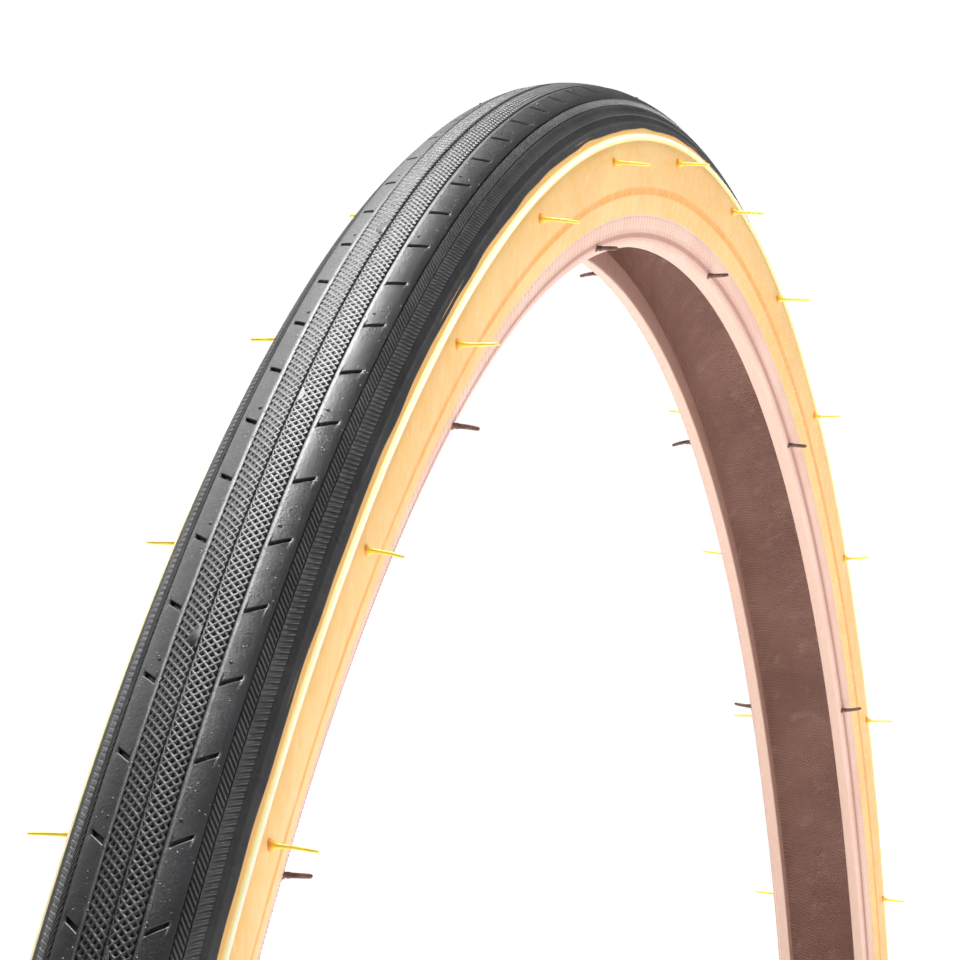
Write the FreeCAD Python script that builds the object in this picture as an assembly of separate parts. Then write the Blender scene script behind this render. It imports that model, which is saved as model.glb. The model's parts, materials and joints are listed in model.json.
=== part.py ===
"""Bicycle tire: a 25-622 wire-bead clincher with gum sidewalls, free of its rim.

Frame: the wheel axis is Y, Z is up and the origin is the wheel's centre.
Every ring is a section drawn in the plane X = 0, with Y across the tire and Z as the
radius, and turned about Y. "left" is the side at +Y and "right" the side at -Y.
"""
import FreeCAD, Part
import math
import os

# Driving dimensions, in millimetres and degrees
BEAD_SEAT_RADIUS = 311.0      # half of the 622 mm bead seat diameter
SECTION_HEIGHT = 25.0         # bead seat to the top of the tread
CROWN_ROUND = 11.2            # outer round of the tread, across the tire
LEG_ROUND = 40.0              # outer round of each sidewall
GUM_THICKNESS = 0.45          # sidewall rubber and chafer strip
PLY_THICKNESS = 0.3           # one rubbered cord ply
CARCASS_TURN = 4.0            # where the carcass crown meets its sidewall, below level

TREAD_EDGE_ANGLE = 67.3       # from the top of the crown to the tread's edge
TREAD_INNER_ANGLE = 59.0      # the same edge, at the carcass
CENTRE_GROOVE_WIDTH = 0.4
CENTRE_GROOVE_DEPTH = 0.45
BORDER_GROOVE_PLACES = 3.2, 7.3   # from the centre line, along the round: the smooth band's borders
BORDER_GROOVE_WIDTH = 0.25
BORDER_GROOVE_DEPTH = 0.35

BREAKER_THICKNESS = 0.4
BREAKER_ANGLE = 34.0          # half of the angle that the breaker covers

RIB_ANGLE = 73.5              # the raised rib under the tread's edge
RIB_HALF_ANGLE = 2.8
RIB_HEIGHT = 0.4

CHAFER_TOP_RADIUS = 316.0     # outer edge of the chafer strip
CHAFER_INNER_RADIUS = 315.8   # inner edge, inside the tire
TURN_UP_RADIUS = 314.6        # where the turned-up ply meets the end of the outer ply
FILLER_APEX_RADIUS = 318.0
FILLER_SHOULDER_RADIUS = 314.6
FILLER_INNER_FACE = 7.55      # Y of the flat inner face of the bead filler
HEEL_ROUND = 0.5
TOE_ROUND = 0.35

WIRE_DIAMETER = 0.7
WIRE_PITCH = 0.8              # from turn to turn
WIRE_PLACE = 8.02             # Y of the column of turns
WIRE_FIRST_ROW = 312.45       # radius of the innermost turn
WIRE_TURNS = 3

LEG_MIDDLE_RADIUS = 320.0     # a radius between the bead and the carcass crown, for arcs

SIDEWALL_SPEW_COUNT = 40
SIDEWALL_SPEW_RADIUS = 324.6
SIDEWALL_SPEW_LENGTH = 5.0
SIDEWALL_SPEW_DIAMETER = 0.8
SIDEWALL_SPEW_LAG = 0.3       # degrees from the top of the wheel
BEAD_SPEW_COUNT = 21
BEAD_SPEW_RADIUS = 312.4
BEAD_SPEW_LENGTH = 3.6
BEAD_SPEW_DIAMETER = 0.9
BEAD_SPEW_LAG = -0.2
SPEW_FOOT_LENGTH = 1.0
SPEW_FOOT_FLARE = 2.1         # foot diameter over stem diameter
SPEW_ROOT = 1.2               # drawn length below the surface, before it is trimmed

NUB_COUNT = 86                # trimmed vent stubs on each smooth band of the tread
NUB_ANGLE = 22.0              # from the top of the crown
NUB_DIAMETER = 0.5
NUB_HEIGHT = 0.35
NUB_ROOT = 0.5                # drawn length below the surface, before it is trimmed
NUB_LAG = 0.95

# Worked-out places
TIRE_RADIUS = BEAD_SEAT_RADIUS + SECTION_HEIGHT
CROWN_CENTRE = TIRE_RADIUS - CROWN_ROUND
LEG_CENTRE = CROWN_ROUND - LEG_ROUND
CARCASS_REACH = -LEG_CENTRE / math.cos(math.radians(CARCASS_TURN))
CARCASS_ROUND = LEG_ROUND - GUM_THICKNESS - CARCASS_REACH
CARCASS_CENTRE = CROWN_CENTRE + LEG_CENTRE * math.tan(math.radians(CARCASS_TURN))
CARCASS_END_ANGLE = 90.0 + CARCASS_TURN

AXIS = FreeCAD.Vector(0, 1, 0)
ORIGIN = FreeCAD.Vector(0, 0, 0)
SIDES = {"left": 1, "right": -1}


# Points and edges of the section
def at(y, radius):
    return FreeCAD.Vector(0, y, radius)


def crown(angle, height=0.0):
    """A point on the tread's outer round, at an angle from its top."""
    turn = math.radians(angle)
    reach = CROWN_ROUND + height
    return at(reach * math.sin(turn), CROWN_CENTRE + reach * math.cos(turn))


def carcass(angle, depth=0.0):
    """A point on the carcass crown, at an angle from its top and a depth inside it."""
    turn = math.radians(angle)
    reach = CARCASS_ROUND - depth
    return at(reach * math.sin(turn), CARCASS_CENTRE + reach * math.cos(turn))


def leg(radius, depth=0.0):
    """A point on the sidewall, at a radius and a depth inside its outer face."""
    rise = radius - CROWN_CENTRE
    return at(LEG_CENTRE + math.sqrt((LEG_ROUND - depth) ** 2 - rise ** 2), radius)


def arc(place, start, end, *extra):
    """The arc of a family of points from one parameter to another."""
    middle = (start + end) / 2
    return arc_through(*[place(value, *extra) for value in (start, middle, end)])


def arc_through(start, middle, end):
    return Part.Arc(start, middle, end).toShape()


def chain(*points):
    """Straight edges from point to point."""
    return [Part.makeLine(a, b) for a, b in zip(points, points[1:])]


def mirrored(edges):
    return [edge.mirror(ORIGIN, AXIS) for edge in edges]


def ring(edges):
    """The solid that a closed section makes when it turns about the wheel axis."""
    face = Part.Face(Part.Wire(Part.__sortEdges__(edges)))
    solid = face.revolve(ORIGIN, AXIS, 360)
    return solid if solid.Volume > 0 else solid.reversed()


def on_side(shape, side):
    return shape if SIDES[side] > 0 else shape.mirror(ORIGIN, AXIS)


# The slope on the inner side of the bead filler, and the layers laid on it
SLOPE_FOOT = at(FILLER_INNER_FACE, FILLER_SHOULDER_RADIUS)
SLOPE_TOP = leg(FILLER_APEX_RADIUS, GUM_THICKNESS + PLY_THICKNESS)
SLOPE_WAY = (SLOPE_TOP - SLOPE_FOOT).normalize()
SLOPE_OUT = at(-SLOPE_WAY.z, SLOPE_WAY.y)


def slope_foot(offset):
    """Where the flat inner face and the slope meet, both moved out by an offset."""
    base = SLOPE_FOOT + SLOPE_OUT * offset
    run = (FILLER_INNER_FACE - offset - base.y) / SLOPE_WAY.y
    return base + SLOPE_WAY * run


def slope_meets_leg(offset, depth):
    """Where the slope, moved out by an offset, meets the sidewall at a depth."""
    base = SLOPE_FOOT + SLOPE_OUT * offset
    away = base - at(LEG_CENTRE, CROWN_CENTRE)
    half = away.dot(SLOPE_WAY)
    rest = away.dot(away) - (LEG_ROUND - depth) ** 2
    return base + SLOPE_WAY * (-half + math.sqrt(half ** 2 - rest))


def slope_at_radius(offset, radius):
    base = SLOPE_FOOT + SLOPE_OUT * offset
    return base + SLOPE_WAY * ((radius - base.z) / SLOPE_WAY.z)


# Sub-parts
def grooved_round(start):
    """One side of the tread's outer round, with its border grooves, from an angle to the edge."""
    edges = []
    half_width = BORDER_GROOVE_WIDTH / 2
    for place in BORDER_GROOVE_PLACES:
        near = math.degrees((place - half_width) / CROWN_ROUND)
        far = math.degrees((place + half_width) / CROWN_ROUND)
        edges.append(arc(crown, start, near))
        edges += chain(crown(near), crown(near, -BORDER_GROOVE_DEPTH))
        edges.append(arc(crown, near, far, -BORDER_GROOVE_DEPTH))
        edges += chain(crown(far, -BORDER_GROOVE_DEPTH), crown(far))
        start = far
    return edges + [arc(crown, start, TREAD_EDGE_ANGLE)]


def tread_cap():
    """Black rubber, with its grooves, over the breaker and the carcass crown."""
    centre_half = math.degrees(CENTRE_GROOVE_WIDTH / 2 / CROWN_ROUND)
    half = [
        *grooved_round(centre_half),
        *chain(crown(TREAD_EDGE_ANGLE), carcass(TREAD_INNER_ANGLE)),
        arc(carcass, TREAD_INNER_ANGLE, BREAKER_ANGLE),
        *chain(carcass(BREAKER_ANGLE), carcass(BREAKER_ANGLE, -BREAKER_THICKNESS)),
        *chain(crown(centre_half), crown(centre_half, -CENTRE_GROOVE_DEPTH)),
    ]
    middle = [
        arc(crown, -centre_half, centre_half, -CENTRE_GROOVE_DEPTH),
        arc(carcass, -BREAKER_ANGLE, BREAKER_ANGLE, -BREAKER_THICKNESS),
    ]
    return ring(half + mirrored(half) + middle)


def breaker_strip():
    """Woven strip between the tread and the carcass crown."""
    side = chain(carcass(BREAKER_ANGLE), carcass(BREAKER_ANGLE, -BREAKER_THICKNESS))
    depths = (0, -BREAKER_THICKNESS)
    rounds = [arc(carcass, -BREAKER_ANGLE, BREAKER_ANGLE, depth) for depth in depths]
    return ring(side + mirrored(side) + rounds)


def casing_ply_outer():
    """Outer cord ply: bead to bead, and it ends where the inner ply's turn-up ends."""
    inner_depth = GUM_THICKNESS + PLY_THICKNESS
    side = [
        arc_through(carcass(CARCASS_END_ANGLE), leg(LEG_MIDDLE_RADIUS, GUM_THICKNESS),
                    leg(TURN_UP_RADIUS, GUM_THICKNESS)),
        *chain(leg(TURN_UP_RADIUS, GUM_THICKNESS), leg(TURN_UP_RADIUS, inner_depth)),
        arc_through(leg(TURN_UP_RADIUS, inner_depth), leg(LEG_MIDDLE_RADIUS, inner_depth),
                    carcass(CARCASS_END_ANGLE, PLY_THICKNESS)),
    ]
    depths = (0, PLY_THICKNESS)
    rounds = [arc(carcass, -CARCASS_END_ANGLE, CARCASS_END_ANGLE, depth) for depth in depths]
    return ring(side + mirrored(side) + rounds)


def casing_ply_inner():
    """Inner cord ply: bead to bead, under each bead filler and turned up outside it."""
    outer_depth = GUM_THICKNESS + PLY_THICKNESS
    inner_depth = outer_depth + PLY_THICKNESS
    filler_base = BEAD_SEAT_RADIUS + GUM_THICKNESS + PLY_THICKNESS
    ply_base = BEAD_SEAT_RADIUS + GUM_THICKNESS
    slope_end = slope_meets_leg(PLY_THICKNESS, inner_depth)
    side = [
        arc_through(carcass(CARCASS_END_ANGLE, PLY_THICKNESS), leg(LEG_MIDDLE_RADIUS, outer_depth),
                    SLOPE_TOP),
        *chain(SLOPE_TOP, SLOPE_FOOT, at(FILLER_INNER_FACE, filler_base), leg(filler_base, outer_depth)),
        arc(leg, filler_base, TURN_UP_RADIUS, outer_depth),
        *chain(leg(TURN_UP_RADIUS, outer_depth), leg(TURN_UP_RADIUS, GUM_THICKNESS)),
        arc(leg, TURN_UP_RADIUS, ply_base, GUM_THICKNESS),
        *chain(leg(ply_base, GUM_THICKNESS), at(FILLER_INNER_FACE - PLY_THICKNESS, ply_base),
               slope_foot(PLY_THICKNESS), slope_end),
        arc_through(slope_end, leg(LEG_MIDDLE_RADIUS, inner_depth),
                    carcass(CARCASS_END_ANGLE, 2 * PLY_THICKNESS)),
    ]
    depths = (PLY_THICKNESS, 2 * PLY_THICKNESS)
    rounds = [arc(carcass, -CARCASS_END_ANGLE, CARCASS_END_ANGLE, depth) for depth in depths]
    return ring(side + mirrored(side) + rounds)


def wire_turns():
    """The steel wire's turns, drawn as closed rings one above another."""
    turns = []
    for number in range(WIRE_TURNS):
        radius = WIRE_FIRST_ROW + number * WIRE_PITCH
        turns.append(Part.makeTorus(radius, WIRE_DIAMETER / 2, at(WIRE_PLACE, 0), AXIS))
    return turns


def bead_filler():
    """Rubber that holds the wire turns and tapers up between the plies."""
    depth = GUM_THICKNESS + PLY_THICKNESS
    base = BEAD_SEAT_RADIUS + depth
    outline = [
        *chain(SLOPE_TOP, SLOPE_FOOT, at(FILLER_INNER_FACE, base), leg(base, depth)),
        arc(leg, base, FILLER_SHOULDER_RADIUS, depth),
        arc(leg, FILLER_SHOULDER_RADIUS, FILLER_APEX_RADIUS, depth),
    ]
    return ring(outline).cut(Part.makeCompound(wire_turns()))


def chafer():
    """Woven strip round the bead: its flat base is the bead seat."""
    base = BEAD_SEAT_RADIUS
    ply_base = base + GUM_THICKNESS
    ply_offset = PLY_THICKNESS
    face_offset = PLY_THICKNESS + GUM_THICKNESS
    outline = [
        arc(leg, CHAFER_TOP_RADIUS, base),
        *chain(leg(base), at(FILLER_INNER_FACE - face_offset, base), slope_foot(face_offset),
               slope_at_radius(face_offset, CHAFER_INNER_RADIUS),
               slope_at_radius(ply_offset, CHAFER_INNER_RADIUS),
               slope_foot(ply_offset), at(FILLER_INNER_FACE - ply_offset, ply_base),
               leg(ply_base, GUM_THICKNESS)),
        arc(leg, ply_base, CHAFER_TOP_RADIUS, GUM_THICKNESS),
        *chain(leg(CHAFER_TOP_RADIUS, GUM_THICKNESS), leg(CHAFER_TOP_RADIUS)),
    ]
    solid = ring(outline)
    for y, fillet in ((leg(base).y, HEEL_ROUND), (FILLER_INNER_FACE - face_offset, TOE_ROUND)):
        solid = solid.makeFillet(fillet, circles_at(solid, y, base))
    return solid


def circles_at(solid, y, radius):
    """The circular edges of a ring at a place in its section."""
    found = []
    for edge in solid.Edges:
        if not isinstance(edge.Curve, Part.Circle):
            continue
        if abs(edge.Curve.Center.y - y) < 0.01 and abs(edge.Curve.Radius - radius) < 0.01:
            found.append(edge)
    return found


def sidewall():
    """Gum rubber from the tread's edge to the chafer, with a raised rib."""
    rib_start = RIB_ANGLE - RIB_HALF_ANGLE
    rib_end = RIB_ANGLE + RIB_HALF_ANGLE
    outline = [
        arc(crown, TREAD_EDGE_ANGLE, rib_start),
        arc_through(crown(rib_start), crown(RIB_ANGLE, RIB_HEIGHT), crown(rib_end)),
        arc(crown, rib_end, 90.0),
        arc(leg, CROWN_CENTRE, CHAFER_TOP_RADIUS),
        *chain(leg(CHAFER_TOP_RADIUS), leg(CHAFER_TOP_RADIUS, GUM_THICKNESS)),
        arc_through(leg(CHAFER_TOP_RADIUS, GUM_THICKNESS), leg(LEG_MIDDLE_RADIUS, GUM_THICKNESS),
                    carcass(CARCASS_END_ANGLE)),
        arc(carcass, CARCASS_END_ANGLE, RIB_ANGLE),
        arc(carcass, RIB_ANGLE, TREAD_INNER_ANGLE),
        *chain(carcass(TREAD_INNER_ANGLE), crown(TREAD_EDGE_ANGLE)),
    ]
    return ring(outline)


def spew(radius, length, diameter, surface_y, skin):
    """One vent spew on the +Y side at the top of the tire, trimmed to the skin under it."""
    foot_radius = diameter * SPEW_FOOT_FLARE / 2
    start = at(surface_y - SPEW_ROOT, radius)
    root = Part.makeCylinder(foot_radius, SPEW_ROOT, start, AXIS)
    cone = Part.makeCone(foot_radius, diameter / 2, SPEW_FOOT_LENGTH, at(surface_y, radius), AXIS)
    stem_start = at(surface_y + SPEW_FOOT_LENGTH, radius)
    stem = Part.makeCylinder(diameter / 2, length - SPEW_FOOT_LENGTH, stem_start, AXIS)
    trimmed = root.fuse([cone, stem]).removeSplitter().cut(skin)
    return max(trimmed.Solids, key=lambda solid: solid.BoundBox.YMax)


def around(shape, count, lag=0.0):
    """Copies of a shape, evenly spaced about the wheel axis."""
    copies = []
    for number in range(count):
        copy = shape.copy()
        copy.rotate(ORIGIN, AXIS, lag + number * 360.0 / count)
        copies.append(copy)
    return Part.makeCompound(copies)


def sidewall_spews(skin):
    surface = leg(SIDEWALL_SPEW_RADIUS).y
    one = spew(SIDEWALL_SPEW_RADIUS, SIDEWALL_SPEW_LENGTH, SIDEWALL_SPEW_DIAMETER, surface, skin)
    return around(one, SIDEWALL_SPEW_COUNT, SIDEWALL_SPEW_LAG)


def bead_spews(skin):
    surface = leg(BEAD_SPEW_RADIUS).y
    one = spew(BEAD_SPEW_RADIUS, BEAD_SPEW_LENGTH, BEAD_SPEW_DIAMETER, surface, skin)
    return around(one, BEAD_SPEW_COUNT, BEAD_SPEW_LAG)


def tread_nubs(cap):
    """Trimmed vent stubs on the smooth band of the tread, on the +Y side."""
    way = (crown(NUB_ANGLE, 1.0) - crown(NUB_ANGLE)).normalize()
    stub = Part.makeCylinder(NUB_DIAMETER / 2, NUB_ROOT + NUB_HEIGHT, crown(NUB_ANGLE, -NUB_ROOT), way)
    return around(stub.cut(cap), NUB_COUNT, NUB_LAG)


def make_parts():
    cap = tread_cap()
    gum = sidewall()
    strip = chafer()
    parts = {
        "tread_cap": cap,
        "breaker_strip": breaker_strip(),
        "casing_ply_outer": casing_ply_outer(),
        "casing_ply_inner": casing_ply_inner(),
    }
    per_side = {
        "tread_nubs": tread_nubs(cap),
        "sidewall": gum,
        "sidewall_spews": sidewall_spews(gum),
        "chafer": strip,
        "bead_spews": bead_spews(strip),
        "bead_filler": bead_filler(),
        "bead_wire": Part.makeCompound(wire_turns()),
    }
    for name, shape in per_side.items():
        for side in SIDES:
            parts[f"{name}_{side}"] = on_side(shape, side)
    return parts


os.makedirs("parts", exist_ok=True)
for node, shape in make_parts().items():
    shape.exportStep(f"parts/{node}.step")
    valid = shape.isValid() and all(solid.isValid() for solid in shape.Solids)
    print(f"{node}: {len(shape.Solids)} solids, {shape.Volume:.0f} mm3, valid {valid}")
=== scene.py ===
"""Looks of the bicycle tire: patterned tread, gum sidewalls, woven bead strips and vent
hairs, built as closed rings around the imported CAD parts.

The ring code works in millimetres. "across" is the distance along the tire's skin from
the centre line of the tread, "along" the distance round the wheel at the tread's radius,
and "height" is measured out of the skin. Meshes turn to metres when they are made.
"""
import json
import math

import bpy
import numpy as np
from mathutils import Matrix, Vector


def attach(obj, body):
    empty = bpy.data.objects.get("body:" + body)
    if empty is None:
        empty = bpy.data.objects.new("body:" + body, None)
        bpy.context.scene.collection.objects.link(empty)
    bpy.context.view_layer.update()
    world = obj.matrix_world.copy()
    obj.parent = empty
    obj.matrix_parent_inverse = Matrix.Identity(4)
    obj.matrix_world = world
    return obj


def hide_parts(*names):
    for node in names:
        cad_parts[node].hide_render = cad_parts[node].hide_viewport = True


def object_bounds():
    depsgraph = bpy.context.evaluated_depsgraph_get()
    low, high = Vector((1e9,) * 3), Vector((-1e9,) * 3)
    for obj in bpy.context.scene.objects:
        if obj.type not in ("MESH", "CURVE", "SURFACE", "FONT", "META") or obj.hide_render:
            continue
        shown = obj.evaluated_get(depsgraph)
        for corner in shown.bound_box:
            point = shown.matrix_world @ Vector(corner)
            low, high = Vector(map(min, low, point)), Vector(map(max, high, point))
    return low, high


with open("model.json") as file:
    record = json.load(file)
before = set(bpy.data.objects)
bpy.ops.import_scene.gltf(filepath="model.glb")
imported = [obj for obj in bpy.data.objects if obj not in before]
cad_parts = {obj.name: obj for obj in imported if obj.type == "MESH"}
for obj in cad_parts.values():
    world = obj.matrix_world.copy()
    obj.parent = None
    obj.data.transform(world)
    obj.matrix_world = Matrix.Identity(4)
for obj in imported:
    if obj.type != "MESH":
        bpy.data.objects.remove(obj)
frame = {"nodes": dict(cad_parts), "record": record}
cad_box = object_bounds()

MM = 0.001
BODY = "root"
SIDES = {"left": 1, "right": -1}
random = np.random.default_rng(7)

# The tire's skin: a round crown and, below its widest place, a larger round down to the bead
BEAD_RADIUS = frame["record"]["mounts"][0]["dims"]["r_mm"]
SECTION_HEIGHT = 25.0
TIRE_RADIUS = BEAD_RADIUS + SECTION_HEIGHT
CROWN = 11.2                  # radius of the crown's round
LEG = 40.0                    # radius of the larger round
CROWN_CENTRE = TIRE_RADIUS - CROWN
LEG_CENTRE = CROWN - LEG
LEVEL = CROWN * math.pi / 2   # distance across of the widest place, where the two rounds meet
TURN = 2 * math.pi
GIRTH = TURN * TIRE_RADIUS

# The carcass under the rubber, and the bead. A centre, a top or an apex is a radius of the wheel.
CARCASS = 10.68               # radius of the carcass's own round
CARCASS_CENTRE = 322.786
BREAKER_ANGLE, BREAKER = 34.0, 0.4
GUM_THICKNESS = 0.45
PLY = 0.3
FILLER_FACE = 7.55
FILLER_SHOULDER = 314.6
FILLER_APEX = 318.0
CHAFER_TOP = 316.15
FLAP_TOP = 315.8

# Bands of the tread, as distances across from the centre line
CENTRE_GAP = 0.17
FILE_EDGE = 3.13
SMOOTH_START = 3.22
SMOOTH_EDGE = 7.12
HATCH_START = 7.28
HATCH_EDGE = 8.68
RIB_EDGE = 10.72
STRIP_START = 11.85           # where the plain edge strip rises from its dark valley
TREAD_EDGE = 13.15
BASE_EDGE = 12.9              # edge of the tread's base, under the bands
BASE_SPAN = 59                # half of the angle, in degrees, that the base covers on the carcass
FLOOR = -0.42                 # height of the tread's base between the bands
UNDERSIDE = -0.62             # height of each band's hidden underside
SMOOTH_LIFT = 0.10            # the smooth band stands a little proud

SIPE_COUNT = 172
SIPE_START, SIPE_END = 3.85, 6.15
SIPE_WIDTH = 0.85             # along the tire
SIPE_DEPTH = 0.50
SIPE_RAMP = 0.30              # its outer end slopes up
SIPE_LAG = math.radians(0.237)
FILE_CELLS = 9 * SIPE_COUNT
FILE_ROWS = 5
WEST, NEAR, EAST, FAR = range(4)  # corners of a cell of the file pattern
FILE_RIM, FILE_PIT = 0.74, 0.30   # a pit's rim and its floor, as shares of its cell
FILE_DEPTH = 0.36
RIDGES = 12 * SIPE_COUNT
HATCH_HEIGHT, RIB_BAND_HEIGHT = 0.30, 0.13

# Vent stubs and vent pads on the tread; a lag is the first one's angle from the top
NUB_COUNT, NUB_LAG = 86, 0.95
NUB_PLACE, NUB_RADIUS, NUB_HEIGHT = 4.3, 0.20, 0.14
VENT_PADS, PAD_LAG = 44, 0.75
PAD_HALF_LENGTH = 2.15
PAD_WIDTH = {"left": 1.4, "right": 0.65}

# Sidewall and chafer, as distances across
GUM_START, GUM_END = 12.6, 26.35
RIB_PLACE, RIB_HALF_WIDTH, RIB_HEIGHT = 14.45, 0.55, 0.38
LINE_PLACE, LINE_HALF_WIDTH, LINE_DEPTH = 22.7, 0.40, 0.07
WEAVE_START, WEAVE_END = 26.4, 31.1
WEAVE_CELLS = 2520
WEAVE_ROWS = 13
WEAVE_HEIGHT = 0.09
HEEL_RING, BASE_FACE, INNER_FACE = 29.7, 31.2, 33.3   # places on the chafer, run down its outer face
HEEL_ROUND, TOE_ROUND, FLAP_ROUND = 0.5, 0.35, 0.4    # reach of the bead's rounded corners
ROUND_STEPS = 4

# Vent hairs: how many a side, the first one's angle from the top, and their size
SIDEWALL_SPEW_PLACE = 17.45   # distance across
SIDEWALL_SPEWS = {"count": 40, "lag": 0.3, "length": 5.8, "width": 0.52, "flare": 3.3}
BEAD_SPEW_RADIUS = 312.4
BEAD_SPEWS = {"count": 21, "lag": -0.2, "length": 3.8, "width": 0.72, "flare": 1.7}
HAIR_SIDES = 8

# Points round the wheel of each plain ring
BASE_COLUMNS, EDGE_COLUMNS = 540, 1548
GUM_COLUMNS, CHAFER_COLUMNS, CASING_COLUMNS = 1260, 1080, 900


# ---------------------------------------------------------------- geometry helpers
def skin(across, height):
    """Y and radius of points at a signed distance across, raised out of the skin."""
    across, height = np.broadcast_arrays(np.asarray(across, float), np.asarray(height, float))
    reach = np.abs(across)
    on_crown = reach < LEVEL
    crown_turn = np.minimum(reach, LEVEL) / CROWN
    leg_turn = np.maximum(reach - LEVEL, 0) / LEG
    crown, leg = CROWN + height, LEG + height
    y = np.where(on_crown, crown * np.sin(crown_turn), LEG_CENTRE + leg * np.cos(leg_turn))
    radius = CROWN_CENTRE + np.where(on_crown, crown * np.cos(crown_turn), -leg * np.sin(leg_turn))
    return np.where(across < 0, -y, y), radius


def leg_y(radius, depth=0.0):
    """Y of the skin below its widest place, at a radius and a depth."""
    return LEG_CENTRE + math.sqrt((LEG - depth) ** 2 - (CROWN_CENTRE - radius) ** 2)


def slope_point(offset, radius=None):
    """On the bead filler's slope, moved in by an offset: at a radius, or where the flat face ends."""
    foot = np.array([FILLER_FACE, FILLER_SHOULDER])
    way = np.array([leg_y(FILLER_APEX, GUM_THICKNESS + PLY), FILLER_APEX]) - foot
    way /= np.linalg.norm(way)
    base = foot + offset * np.array([-way[1], way[0]])
    run = (radius - base[1]) / way[1] if radius else (FILLER_FACE - offset - base[0]) / way[0]
    return tuple(base + run * way)


def signed_volume(points, faces, sizes):
    """Positive where the faces of a closed mesh look outward."""
    starts = np.cumsum(sizes) - sizes
    total = 0.0
    for corner in range(1, int(sizes.max()) - 1):
        use = sizes > corner + 1
        a, b, c = (points[faces[starts[use] + step]] for step in (0, corner, corner + 1))
        total += np.einsum("ij,ij->", a, np.cross(b, c))
    return total


def make_mesh(name, angle, across, y, radius, faces, material, side=1, sharp=32.0):
    """A mesh piece from points given as angle, Y and radius; faces is a list of index arrays."""
    points = np.stack([radius * np.sin(angle), y * side, radius * np.cos(angle)], -1) * MM
    sizes = np.concatenate([np.full(len(group), group.shape[1]) for group in faces])
    corners = np.concatenate([group.ravel() for group in faces])
    if signed_volume(points, corners, sizes) < 0:
        corners = np.concatenate([group[:, ::-1].ravel() for group in faces])
    mesh = bpy.data.meshes.new(name)
    mesh.vertices.add(len(points))
    mesh.vertices.foreach_set("co", points.ravel())
    mesh.loops.add(len(corners))
    mesh.loops.foreach_set("vertex_index", corners.astype(np.int32))
    mesh.polygons.add(len(sizes))
    mesh.polygons.foreach_set("loop_start", (np.cumsum(sizes) - sizes).astype(np.int32))
    mesh.update(calc_edges=True)
    skin_uv(mesh, angle, across, corners, sizes)
    mesh.validate()
    mesh.shade_smooth()
    mesh.set_sharp_from_angle(angle=math.radians(sharp))
    mesh.materials.append(material)
    piece = bpy.data.objects.new(name, mesh)
    bpy.context.scene.collection.objects.link(piece)
    return piece


def skin_uv(mesh, angle, across, corners, sizes):
    """A UV map of along and across in millimetres, with no face that spans the seam."""
    along = (angle[corners] % TURN) * TIRE_RADIUS
    face = np.repeat(np.arange(len(sizes)), sizes)
    highest = np.full(len(sizes), -1.0)
    np.maximum.at(highest, face, along)
    along = np.where(highest[face] - along > GIRTH / 2, along + GIRTH, along)
    layer = mesh.uv_layers.new(name="Skin")
    layer.data.foreach_set("uv", np.stack([along, across[corners]], -1).astype(np.float32).ravel())


def columns_round(count):
    """Angles of evenly spaced points round the wheel, as one row."""
    return np.linspace(0, TURN, count, endpoint=False)[None, :]


def ring(name, angle, across, y, radius, material, side=1, sharp=32.0):
    """A closed ring: rows go round the section, columns round the wheel."""
    angle, across, y, radius = np.broadcast_arrays(angle, across, y, radius)
    index = np.arange(y.size).reshape(y.shape)
    below = np.roll(index, -1, axis=0)
    quads = np.stack([index, below, np.roll(below, -1, axis=1), np.roll(index, -1, axis=1)], -1)
    flat = [grid.ravel() for grid in (angle, across, y, radius)]
    return make_mesh(name, *flat, [quads.reshape(-1, 4)], material, side, sharp)


def walls(index):
    """Quads between rows of points that each close on themselves."""
    following = np.roll(index, -1, 1)
    return np.stack([index[:-1], following[:-1], following[1:], index[1:]], -1).reshape(-1, 4)


def band(name, count, offsets, across, shear, height, material, side, lag=0.0):
    """A tread band: a row of heights per distance across, repeated count times round the tire."""
    pitch = GIRTH / count
    columns = (np.arange(count)[:, None] * pitch + np.asarray(offsets)[None, :]).ravel()
    across = np.concatenate([across, across[-1:], across[:1]])[:, None]
    shear = np.concatenate([shear, shear[-1:], shear[:1]])[:, None]
    closing = np.full((2, len(offsets)), UNDERSIDE)
    height = np.tile(np.concatenate([height, closing]), (1, count))
    y, radius = skin(across, height)
    angle = (columns[None, :] + shear) / TIRE_RADIUS + lag
    return ring(name, angle, across, y, radius, material, side)


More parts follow.
